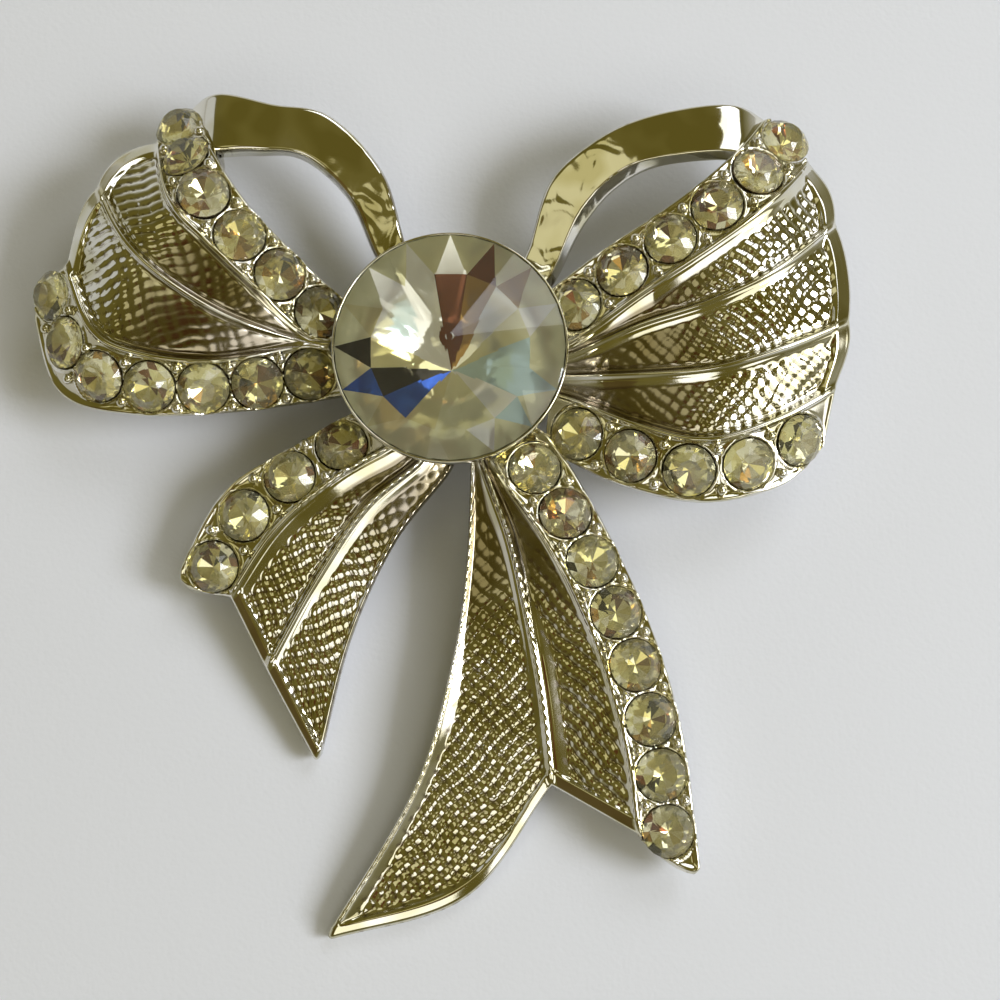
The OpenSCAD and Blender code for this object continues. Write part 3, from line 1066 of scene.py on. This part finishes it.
@dataclass
class HubCup:
    """Thin-walled cup that holds the centre stone."""

    stone_d: float = 15.4
    gap: float = 0.03
    wall: float = 0.16
    foot_d: float = 13.0
    foot_z: float = 3.6
    girdle_z: float = 9.2
    lip: float = 0.15
    back_h: float = 3.6
    segments: int = 160

    def build(self, metal: bpy.types.Material) -> bpy.types.Object:
        """Closed shape of revolution: foot, tapered wall, rounded lip and conical hollow.

        Args:
            metal: Finish of the casting.

        Returns:
            The cup's piece.
        """
        inner = self.stone_d / 2 + self.gap
        outer = inner + self.wall
        foot, half = self.foot_d / 2, self.wall / 2
        a = np.linspace(0, np.pi, 9)
        top = self.girdle_z + self.lip - half
        lip = np.stack([outer - half + half * np.cos(a), top + half * np.sin(a)], axis=1)
        profile = np.concatenate([
            [[0.0, self.foot_z], [foot - 0.4, self.foot_z], [foot, self.foot_z + 0.4]],
            [[outer - 0.12, self.girdle_z - 0.8], [outer, self.girdle_z - 0.5]],
            lip,
            [[inner, self.girdle_z - 0.06], [0.0, self.girdle_z - self.back_h - 0.2]],
        ])
        points, faces = lathe(profile, self.segments)
        return make_piece("hub_cup", points, faces, [metal], CASTING)


@dataclass
class Grains:
    """Cast grains beside the gaps between neighbouring small stones."""

    radius: float = 0.38
    stone_d: float = 3.5
    rise: float = 0.12
    around: int = 14
    up: int = 8

    def build(self, ribbons: Sequence[Ribbon], metal: bpy.types.Material) -> bpy.types.Object:
        """Joined mesh of small spheres, each set on its border beside a gap between stones.

        Args:
            ribbons: The ribbons whose stones have gaps.
            metal: Finish of the casting.

        Returns:
            The grains' piece.
        """
        b = np.linspace(-np.pi / 2, np.pi / 2, self.up + 1)[1:-1]
        circle = np.stack([np.cos(b), np.sin(b)], axis=1)
        ball, faces = lathe(np.concatenate([[[0, -1]], circle, [[0, 1]]]), self.around)
        ball = ball * self.radius
        away = self.stone_d / 2 - self.radius
        all_points, all_faces = [], []
        places = [
            ribbon.frame_at(s, row.line)
            for ribbon in ribbons for row in ribbon.rows for s in ribbon.row_positions(row)[1::2]
        ]
        for place in places:
            for side in (-1, 1):
                start = len(all_points) * len(ball)
                moved = ball + np.array([0, side * away, self.rise])
                all_points.append(moved @ place[:3] + place[3])
                all_faces += [[corner + start for corner in face] for face in faces]
        points = np.concatenate(all_points)
        return make_piece("grains", points, all_faces, [metal], CASTING)


# The bow itself: a row for each section, from the hub outwards, and a point for each line

def right_loop() -> Ribbon:
    """Right loop. Lines: upper edge, ridge, first rib, second rib, lower rim, lower edge."""
    return Ribbon(
        "right_loop_face",
        [
            [[6.6, 5.0, 5.4], [8.5, 1.2, 6.0], [8.2, 0.3, 6.0],
             [8.2, -1.2, 5.8], [8.2, -2.7, 5.6], [7.8, -6.8, 4.6]],
            [[10.8, 7.7, 7.2], [12.9, 4.0, 8.0], [12.8, 1.9, 7.8],
             [12.7, -1.5, 7.6], [12.4, -4.8, 7.2], [11.6, -8.9, 6.0]],
            [[15.7, 10.9, 8.0], [17.8, 7.1, 8.8], [17.3, 3.2, 8.8],
             [17.5, -1.3, 8.6], [17.0, -6.0, 8.0], [16.9, -10.1, 6.4]],
            [[19.5, 14.2, 8.0], [21.7, 10.2, 8.6], [21.8, 5.4, 8.8],
             [22.2, 0.1, 8.6], [21.7, -4.6, 7.6], [22.2, -8.9, 5.8]],
            [[22.0, 17.7, 6.0], [24.8, 13.8, 6.4], [26.4, 9.3, 7.0],
             [27.1, 2.4, 7.2], [26.2, -2.0, 6.4], [25.4, -6.0, 5.0]],
        ],
        [Line.EDGE, Line.RIDGE, Line.RIB, Line.RIB, Line.RIM, Line.EDGE],
        [Strip(0, 1, Kind.BORDER), Strip(1, 2, Kind.PLEAT), Strip(2, 3, Kind.PLEAT),
         Strip(3, 4, Kind.PLEAT), Strip(4, 5, Kind.BORDER)],
        [StoneRow("right_upper_stone", 6, 0.5, 0.28, 3.88),
         StoneRow("right_lower_stone", 5, 4.5, 0.2, 3.4)],
        weave=Weave(-38.0, 0.78, 0.8, 0.13, 2.2, full_from=2.4),
        lip=2.4, end_strip=1.5, bowed=(1, 4), bulge={1: 0.5, 2: 0.3, 3: 0.3}, corners=(1.6, 1.6),
    )


def left_loop() -> Ribbon:
    """Left loop. Lines: upper edge, ridge, rib, lower rim, lower edge."""
    return Ribbon(
        "left_loop_face",
        [
            [[-7.7, 4.7, 5.4], [-10.0, 1.6, 6.0], [-10.2, 1.2, 6.0],
             [-10.2, 0.8, 6.0], [-8.0, -2.5, 4.6]],
            [[-11.4, 7.9, 7.4], [-13.6, 4.7, 8.0], [-15.0, 2.4, 8.0],
             [-15.9, -0.5, 7.4], [-15.0, -3.8, 5.8]],
            [[-13.9, 10.5, 8.2], [-16.6, 7.5, 8.8], [-19.3, 4.9, 8.8],
             [-21.2, 0.0, 7.8], [-21.8, -3.9, 5.6]],
            [[-16.1, 13.9, 8.2], [-19.0, 10.3, 8.8], [-22.2, 7.8, 8.6],
             [-24.2, 1.7, 7.6], [-27.0, -2.0, 4.6]],
            [[-17.7, 18.2, 5.0], [-20.6, 15.8, 5.2], [-24.4, 11.9, 7.0],
             [-26.3, 6.6, 6.8], [-29.3, 4.4, 3.8]],
        ],
        [Line.EDGE, Line.RIDGE, Line.RIB, Line.RIM, Line.EDGE],
        [Strip(0, 1, Kind.BORDER), Strip(1, 2, Kind.PLEAT), Strip(2, 3, Kind.PLEAT),
         Strip(3, 4, Kind.BORDER)],
        [StoneRow("left_upper_stone", 6, 0.5, 0.06, 3.96),
         StoneRow("left_lower_stone", 7, 3.5, 0.12, 3.84)],
        weave=Weave(14.0, 0.74, 0.9, 0.1, 2.6, full_from=2.9),
        lip=2.4, end_strip=1.5, bowed=(1, 3), bulge={1: 1.0, 2: 0.5}, corners=(1.6, 1.6),
        bevel_slope=1.1,
    )


def left_tail() -> Ribbon:
    """Left tail. Lines: outer edge, ridge, rib, inner edge."""
    return Ribbon(
        "left_tail_face",
        [
            [[-6.8, -3.4, 4.6], [-4.0, -5.9, 5.2], [-2.1, -7.0, 5.2], [0.1, -7.5, 4.8]],
            [[-11.0, -5.9, 4.8], [-8.0, -8.3, 5.4], [-5.7, -10.1, 5.2], [-3.7, -12.5, 4.6]],
            [[-15.7, -8.9, 4.0], [-11.9, -11.6, 4.6], [-9.1, -15.0, 4.2], [-6.8, -19.0, 3.4]],
            [[-19.3, -15.2, 2.6], [-15.1, -16.1, 3.2], [-12.6, -21.0, 2.6], [-9.1, -27.4, 1.6]],
        ],
        [Line.EDGE, Line.RIDGE, Line.RIB, Line.EDGE],
        [Strip(0, 1, Kind.BORDER), Strip(1, 2, Kind.PLEAT), Strip(2, 3, Kind.PLEAT)],
        [StoneRow("left_tail_stone", 4, 0.5, 0.54, 2.7)],
        weave=Weave(16.0, 0.8, 0.85, 0.1, full_from=1.7),
        end_strip=1.1, bowed=(1, 3), corners=(1.9, 0.7), beads_to=1.6,
    )


def right_tail() -> Ribbon:
    """Right tail. Lines: outer edge, ridge, rib, crease, inner edge."""
    return Ribbon(
        "right_tail_face",
        [
            [[7.0, -5.4, 4.6], [3.5, -8.3, 5.2], [2.2, -7.2, 5.2],
             [1.7, -7.1, 5.0], [1.2, -7.2, 4.8]],
            [[10.3, -11.0, 5.0], [6.9, -13.2, 5.8], [4.0, -12.1, 5.2],
             [2.5, -12.9, 4.8], [1.0, -13.7, 4.6]],
            [[13.4, -17.7, 4.6], [9.7, -19.2, 5.4], [5.1, -17.1, 4.8],
             [2.6, -19.1, 4.2], [0.0, -20.7, 3.8]],
            [[15.6, -25.1, 4.0], [11.7, -26.0, 4.8], [6.1, -22.7, 4.0],
             [1.9, -26.0, 3.2], [-2.5, -29.0, 2.6]],
            [[16.8, -34.6, 3.2], [12.6, -32.1, 4.0], [6.8, -28.8, 3.0],
             [1.0, -36.2, 1.8], [-8.6, -39.1, 1.2]],
        ],
        [Line.EDGE, Line.RIDGE, Line.RIB, Line.CREASE, Line.EDGE],
        [Strip(0, 1, Kind.BORDER), Strip(1, 2, Kind.PLEAT), Strip(2, 4, Kind.PLEAT)],
        [StoneRow("right_tail_stone", 8, 0.5, 0.16, 3.8)],
        weave=Weave(-45.0, full_from=2.2),
        end_strip=1.2, bowed=(2, 4), bulge={0: 0.7}, corners=(0.8, 0.8), beads_to=9.0,
        edge_bevel=1.1,
        tall={Line.EDGE: 0.22, Line.RIDGE: 0.26, Line.RIB: 0.36, Line.RIM: 0.42, Line.CREASE: 0.0},
    )


def left_band() -> Ribbon:
    """Smooth arched band behind the left loop. Lines: upper edge, lower edge."""
    return Ribbon(
        "left_band_face",
        [
            [[-3.3, 8.8, 4.6], [-5.3, 7.7, 4.6]],
            [[-4.8, 13.4, 5.8], [-7.1, 11.5, 5.8]],
            [[-8.4, 17.1, 6.8], [-10.1, 14.1, 6.8]],
            [[-12.4, 17.9, 7.2], [-13.3, 14.4, 7.4]],
            [[-16.4, 18.8, 6.8], [-16.4, 14.4, 7.2]],
            [[-18.8, 18.2, 4.6], [-18.4, 14.6, 5.4]],
        ],
        [Line.EDGE, Line.EDGE],
        [Strip(0, 1, Kind.SMOOTH)],
        wave=0.014, beads_to=1.4,
    )


def right_band() -> Ribbon:
    """Smooth arched band behind the right loop. Lines: upper edge, crest, lower edge."""
    return Ribbon(
        "right_band_face",
        [
            [[5.2, 8.1, 4.6], [6.9, 6.4, 4.6], [7.2, 5.9, 3.6]],
            [[6.9, 12.9, 5.8], [8.9, 10.6, 5.8], [9.5, 10.1, 4.8]],
            [[10.9, 16.0, 6.8], [11.9, 13.3, 6.8], [12.5, 12.8, 5.8]],
            [[15.2, 17.4, 7.2], [15.7, 14.1, 7.4], [15.9, 13.7, 6.4]],
            [[19.6, 17.8, 7.2], [19.5, 14.2, 7.6], [19.4, 13.7, 6.6]],
            [[22.6, 17.0, 5.2], [21.8, 13.4, 6.0], [21.6, 13.0, 5.0]],
        ],
        [Line.EDGE, Line.CREASE, Line.EDGE],
        [Strip(0, 1, Kind.SMOOTH), Strip(1, 2, Kind.SMOOTH)],
        wave=0.012, beads_to=2.2,
    )


@dataclass
class Bow:
    """The whole brooch."""

    ribbons: list[Ribbon] = field(default_factory=lambda: [
        right_loop(), left_loop(), left_tail(), right_tail(), left_band(), right_band(),
    ])
    cup: HubCup = field(default_factory=HubCup)
    grains: Grains = field(default_factory=Grains)
    centre: CutStone = field(default_factory=lambda: CutStone(
        diameter=15.4, sides=16, table_d=0.5, mid_d=11.5, crown_h=2.6, back_h=1.6,
        back_mid_d=10.4, apex_shift=(0.1, -1.1), pale_from=0.83,
    ))
    small: CutStone = field(default_factory=lambda: CutStone(
        diameter=3.5, sides=10, table_d=1.7, mid_d=2.7, crown_h=0.85, back_h=0.6, back_mid_d=2.0,
    ))
    centre_z: float = 9.2
    seed: int = 12
    small_sectors: int = 16
    # Painted reflections round the centre stone's foil, sector by sector: light where a facet
    # mirrors the window, brown, dark and blue where it mirrors the room
    centre_reflection_paint: tuple[FoilReflectionPaint, ...] = (
        FoilReflectionPaint.SKY, FoilReflectionPaint.PALE, FoilReflectionPaint.CLEAR, FoilReflectionPaint.TAN, FoilReflectionPaint.BROWN, FoilReflectionPaint.CLEAR, FoilReflectionPaint.CLEAR, FoilReflectionPaint.CLEAR,
        FoilReflectionPaint.CREAM, FoilReflectionPaint.DARK, FoilReflectionPaint.BLUE, FoilReflectionPaint.CREAM, FoilReflectionPaint.PALE, FoilReflectionPaint.PALE, FoilReflectionPaint.CLEAR, FoilReflectionPaint.SKY,
    )
    # Shares of the painted reflections that the small stones' facets get by chance
    small_reflection_paint: dict[FoilReflectionPaint, float] = field(default_factory=lambda: {
        FoilReflectionPaint.CLEAR: 5, FoilReflectionPaint.PALE: 5, FoilReflectionPaint.CREAM: 5,
        FoilReflectionPaint.TAN: 1.5, FoilReflectionPaint.BROWN: 1.2, FoilReflectionPaint.DARK: 0.5,
    })

    def build_metal(self) -> None:
        """Builds the ribbons, the cup and the grains, and dresses the pin back."""
        metal = PlatedMetal().build()
        for ribbon in self.ribbons:
            ribbon.build(metal)
        self.cup.build(metal)
        self.grains.build(self.ribbons, metal)
        steel = PlainSteel().build()
        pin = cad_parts["pin_back"]
        pin.data.materials.clear()
        pin.data.materials.append(steel)

    def build_stones(self) -> None:
        """Builds the centre stone and every small stone in its seat, turned by chance."""
        chance = np.random.default_rng(self.seed)
        foil = FoilBack("silver foil of the centre stone", mirror=0.62).build()
        glass = CutCrystal("clear centre crystal", "#fcfbee", 0.97).build()
        level = np.array([[1, 0, 0], [0, 1, 0], [0, 0, 1], [0, 0, self.centre_z]], float)
        self.centre.build("centre_stone", level, glass, foil, "clear_stone", self.centre_reflection_paint)
        small_glass = CutCrystal("champagne crystal", "#f1ecc4", 0.9).build()
        small_foil = FoilBack("silver foil of the small stones", mirror=0.8).build()
        reflection_paints = list(self.small_reflection_paint)
        shares = np.array(list(self.small_reflection_paint.values()))
        shares = shares / shares.sum()
        for ribbon in self.ribbons:
            for row in ribbon.rows:
                for i, s in enumerate(ribbon.row_positions(row)[::2]):
                    place = ribbon.frame_at(s, row.line)
                    turn = chance.uniform(0, 2 * np.pi)
                    cos, sin = np.cos(turn), np.sin(turn)
                    spin = np.array([[cos, sin, 0], [-sin, cos, 0], [0, 0, 1]])
                    place = np.concatenate([spin @ place[:3], place[3:]])
                    # Painted reflections picked by chance for each sector of a small stone's foil
                    picks = chance.choice(len(reflection_paints), self.small_sectors, p=shares)
                    self.small.build(
                        f"{row.name}_{i + 1}", place, small_glass, small_foil, "small_stone",
                        [reflection_paints[pick] for pick in picks],
                    )


# Surroundings


def towards(azimuth: float, elevation: float) -> np.ndarray:
    """Unit vector to a place in the room, by azimuth from east and elevation, in degrees."""
    a, e = np.radians(azimuth), np.radians(elevation)
    return np.array([np.cos(e) * np.cos(a), np.cos(e) * np.sin(a), np.sin(e)])


@dataclass(frozen=True)
class Lamp:
    """Square soft light that faces the brooch: its width and distance are in metres."""

    name: str
    azimuth: float
    elevation: float
    width: float
    watts: float
    distance: float = 0.6
    colour: str = "#f4f8ff"

    def build(self) -> None:
        """Hangs the light in the scene."""
        data = bpy.data.lights.new(self.name, "AREA")
        data.shape = "RECTANGLE"
        data.size, data.size_y = self.width, self.width
        data.energy = self.watts
        data.color = linear(self.colour)[:3]
        place = tuple(towards(self.azimuth, self.elevation) * self.distance)
        light = bpy.data.objects.new(self.name, data)
        light.location = place
        light.rotation_euler = Vector(place).to_track_quat("Z", "Y").to_euler()
        bpy.context.scene.collection.objects.link(light)


@dataclass(frozen=True)
class Card:
    """Round patch of the room: a pane, a wall or a dark thing that the metal mirrors."""

    azimuth: float
    elevation: float
    radius: float
    colour: str
    gain: float = 1.0
    soft: float = 0.05


@dataclass
class Studio:
    """Pale floor, soft window from the right, its room and the camera of the photograph."""

    focal_px: float = 2000.0
    frame_px: float = 1000.0
    tilt_deg: float = 10.0
    px_per_mm: float = 15.0
    stone_px: tuple[float, float] = (450.0, 347.5)
    stone_z: float = 9.0
    sensor_mm: float = 36.0
    floor_half: float = 0.6
    room_px: int = 512
    lamps: tuple[Lamp, ...] = (
        Lamp("window", -8.0, 40.0, 0.22, 2.2),
        Lamp("second_window", 52.0, 46.0, 0.3, 0.6),
    )
    walls: dict[float, str] = field(default_factory=lambda: {
        0.0: "#b4b3ac", 0.2: "#8f8b70", 0.42: "#665f34", 0.8: "#6c632e",
    })
    cards: tuple[Card, ...] = (
        Card(172.0, 71.0, 11.0, "#ded7a6"),
        Card(-32.0, 75.0, 5.0, "#cfc793"),
        Card(160.0, 18.0, 17.0, "#c8c9c6"),
        Card(-165.0, 12.0, 14.0, "#b9b7ae"),
        Card(95.0, 8.0, 16.0, "#bdbaa6"),
        Card(-113.0, 75.0, 7.0, "#5c3a1e"),
        Card(-140.0, 36.0, 12.0, "#5a4c2a"),
        Card(-95.0, 50.0, 11.0, "#fffdf2", 1.6),
        Card(-18.0, 37.0, 20.0, "#fffdf4", 1.8),
        Card(-42.0, 43.0, 14.0, "#fffdf2", 1.7),
        Card(60.0, 47.0, 8.0, "#ffffff", 0.9),
    )

    def floor(self) -> None:
        """Large level sheet under the brooch."""
        half = self.floor_half
        corners = [(-half, -half, 0), (half, -half, 0), (half, half, 0), (-half, half, 0)]
        mesh = bpy.data.meshes.new("floor")
        mesh.from_pydata(corners, [], [(0, 1, 2, 3)])
        mesh.materials.append(PaleFloor().build())
        sheet = bpy.data.objects.new("floor", mesh)
        bpy.context.scene.collection.objects.link(sheet)

    def camera(self) -> None:
        """Camera that sees the centre stone at the photograph's place, size and tilt."""
        tilt = np.radians(self.tilt_deg)
        ahead = np.array([0, np.sin(tilt), -np.cos(tilt)])
        up = np.array([0, np.cos(tilt), np.sin(tilt)])
        right = np.array([1.0, 0, 0])
        distance = self.focal_px / self.px_per_mm
        x = (self.stone_px[0] - self.frame_px / 2) / self.focal_px
        y = (self.frame_px / 2 - self.stone_px[1]) / self.focal_px
        eye = HUB + [0, 0, self.stone_z] - distance * (ahead + x * right + y * up)
        data = bpy.data.cameras.new("camera")
        data.sensor_width = self.sensor_mm
        data.lens = self.focal_px / self.frame_px * self.sensor_mm
        data.clip_start = 0.005
        camera = bpy.data.objects.new("camera", data)
        turn = Matrix((tuple(right), tuple(up), tuple(-ahead))).transposed()
        camera.matrix_world = Matrix.Translation(Vector(eye * MM)) @ turn.to_4x4()
        bpy.context.scene.collection.objects.link(camera)
        bpy.context.scene.camera = camera

    def light(self) -> None:
        """Windows that light the brooch, and the room that its metal mirrors."""
        for lamp in self.lamps:
            lamp.build()
        world = bpy.data.worlds.new("room")
        bpy.context.scene.world = world
        world.use_nodes = True
        tree = world.node_tree
        tree.nodes.clear()
        room = add_node(tree, "ShaderNodeTexEnvironment", {"image": self.room()}, {})
        colour = {"Color": room.outputs["Color"]}
        back = add_node(tree, "ShaderNodeBackground", {"Strength": 1.0}, colour)
        surface = {"Surface": back.outputs["Background"]}
        add_node(tree, "ShaderNodeOutputWorld", {}, surface)

    def room(self) -> bpy.types.Image:
        """Works out the room as a picture of every direction, longitude across and latitude up.

        The walls' colour runs with the sine of the elevation. A card covers the directions
        whose straight distance from its own is under twice the sine of half its radius.

        Returns:
            The picture, in linear colour.
        """
        high = self.room_px
        across = (0.5 - (np.arange(2 * high) + 0.5) / (2 * high)) * 2 * np.pi
        up = ((np.arange(high) + 0.5) / high - 0.5) * np.pi
        a, e = np.meshgrid(across, up)
        way = np.stack([np.cos(e) * np.cos(a), np.cos(e) * np.sin(a), np.sin(e)], axis=-1)
        walls = np.array([linear(colour) for colour in self.walls.values()])
        levels = list(self.walls)
        bands = [np.interp(way[..., 2], levels, walls[:, channel]) for channel in range(4)]
        colours = np.stack(bands, axis=-1)
        for card in self.cards:
            away = np.linalg.norm(way - towards(card.azimuth, card.elevation), axis=-1)
            size = 2 * np.sin(np.radians(card.radius) / 2)
            fringe = size * card.soft
            mask = np.clip((size + fringe - away) / (2 * fringe), 0, 1)[..., None]
            shade = np.array(linear(card.colour)) * [card.gain, card.gain, card.gain, 1]
            colours = colours * (1 - mask) + shade * mask
        picture = bpy.data.images.new("room", 2 * high, high, float_buffer=True)
        picture.pixels.foreach_set(colours.astype(np.float32).ravel())
        return picture

    def light_paths(self) -> None:
        """Few bounces, as later ones don't show, and no light tree, as two lamps don't need one."""
        cycles = bpy.context.scene.cycles
        cycles.max_bounces, cycles.transmission_bounces = 7, 6
        cycles.diffuse_bounces, cycles.glossy_bounces = 2, 3
        cycles.use_light_tree = False

    def build(self) -> None:
        """Sets the stage."""
        self.floor()
        self.camera()
        self.light()
        self.light_paths()
        bpy.context.scene.view_settings.view_transform = "Standard"


def main() -> None:
    """Builds the brooch and its surroundings."""
    logging.basicConfig(level=logging.INFO, format="%(name)s: %(message)s")
    Studio().build()
    bow = Bow()
    bow.build_metal()
    bow.build_stones()


if __name__ == "__main__":
    main()
